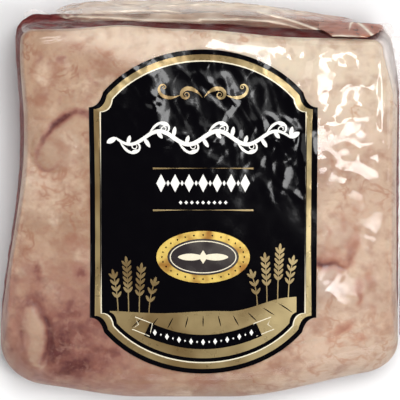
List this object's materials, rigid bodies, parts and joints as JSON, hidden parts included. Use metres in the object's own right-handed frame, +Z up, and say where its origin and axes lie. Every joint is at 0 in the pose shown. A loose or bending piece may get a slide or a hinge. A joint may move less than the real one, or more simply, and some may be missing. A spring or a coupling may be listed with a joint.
{
  "type": "vacuum-packed raw beef striploin",
  "caption": "Block of raw beef striploin, fat cap up, in a tight clear shrink bag with folded film ends and a black and gold plaque-shaped printed label.",
  "frame": {"origin": "on the surface that the pack lies on, under the middle of its box", "axes": "+Z up, out of the fat side; +X along the muscle, from one cut end to the other; +Y to the thick back edge, where the bag's end is folded"},
  "size_m": [0.2132, 0.207, 0.0674],
  "materials": {
    "lean_meat": "moist raw lean, dark red",
    "beef_fat": "moist raw fat, cream to pinkish tan, mottled",
    "bag_film": "clear glossy shrink film",
    "print_black": "glossy black print on film",
    "print_gold": "glossy metallic gold print on film",
    "print_cream": "glossy white print",
    "print_grey": "glossy dark grey print"
  },
  "bodies": {
    "root": {"lean": "lean_meat", "fat_cap": "beef_fat", "film_tail": "bag_film", "film_ear_left": "bag_film", "film_ear_right": "bag_film", "film_seam_right": "bag_film", "label_plaque": "print_black", "label_border": "print_gold", "label_flourish": "print_gold", "label_wave": "print_cream", "label_rule_upper": "print_gold", "label_lozenges": "print_cream", "label_beads": "print_cream", "label_rule_lower": "print_gold", "label_oval": "print_gold", "label_oval_field": "print_grey", "label_hills": "print_gold", "label_ribbon": "print_black"}
  },
  "joints": []
}
